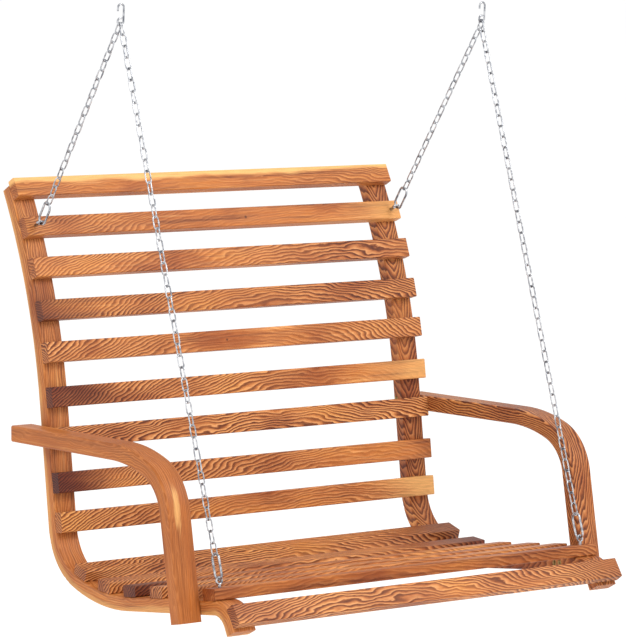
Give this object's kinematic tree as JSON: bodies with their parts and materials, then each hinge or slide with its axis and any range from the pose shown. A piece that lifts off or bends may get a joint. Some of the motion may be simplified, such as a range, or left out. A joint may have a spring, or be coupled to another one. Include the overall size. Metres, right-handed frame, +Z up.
{
  "type": "porch swing",
  "caption": "Hanging bench with bent wooden side frames and arms, horizontal slats and a pair of chains on each side that meet at a hook; it swings as one piece.",
  "frame": {"origin": "midway between the inside tops of the two hooks' open bends, where they bear on their supports", "axes": "+X to the right of someone facing the back rest, +Y to the rear, +Z up"},
  "size_m": [1.02, 0.8466, 1.1465],
  "materials": {
    "slat_wood": "orange-brown stained softwood with bold dark grain, satin",
    "frame_wood": "orange-brown stained bent wood, satin",
    "chain_steel": "bright zinc plate",
    "fitting_steel": "bright zinc plate",
    "screw_steel": "pale yellow zinc plate"
  },
  "bodies": {
    "hooks": {"left_hook": "fitting_steel", "right_hook": "fitting_steel"},
    "seat": {"back_slat_1": "slat_wood", "back_slat_2": "slat_wood", "back_slat_3": "slat_wood", "back_slat_4": "slat_wood", "back_slat_5": "slat_wood", "back_slat_6": "slat_wood", "back_slat_7": "slat_wood", "back_slat_8": "slat_wood", "back_slat_9": "slat_wood", "seat_slat_1": "slat_wood", "seat_slat_2": "slat_wood", "seat_slat_3": "slat_wood", "seat_slat_4": "slat_wood", "seat_slat_5": "slat_wood", "seat_slat_6": "slat_wood", "front_edge_slat": "slat_wood", "left_side_frame": "frame_wood", "right_side_frame": "frame_wood", "left_arm": "frame_wood", "right_arm": "frame_wood", "left_rear_chain": "chain_steel", "left_front_chain": "chain_steel", "right_rear_chain": "chain_steel", "right_front_chain": "chain_steel", "left_rear_connecting_link": "chain_steel", "left_front_connecting_link": "chain_steel", "right_rear_connecting_link": "chain_steel", "right_front_connecting_link": "chain_steel", "left_rear_eye_bolt": "fitting_steel", "left_front_eye_bolt": "fitting_steel", "right_rear_eye_bolt": "fitting_steel", "right_front_eye_bolt": "fitting_steel", "eye_bolt_washers": "fitting_steel", "eye_bolt_nuts": "fitting_steel", "back_slat_screws": "screw_steel", "seat_slat_screws": "screw_steel", "arm_screws": "screw_steel"}
  },
  "joints": [
    {"name": "swing", "type": "hinge", "parent": "hooks", "child": "seat", "pos_m": [0, 0, -0.03775], "axis": [1, 0, 0], "range_deg": [-30, 30]}
  ]
}
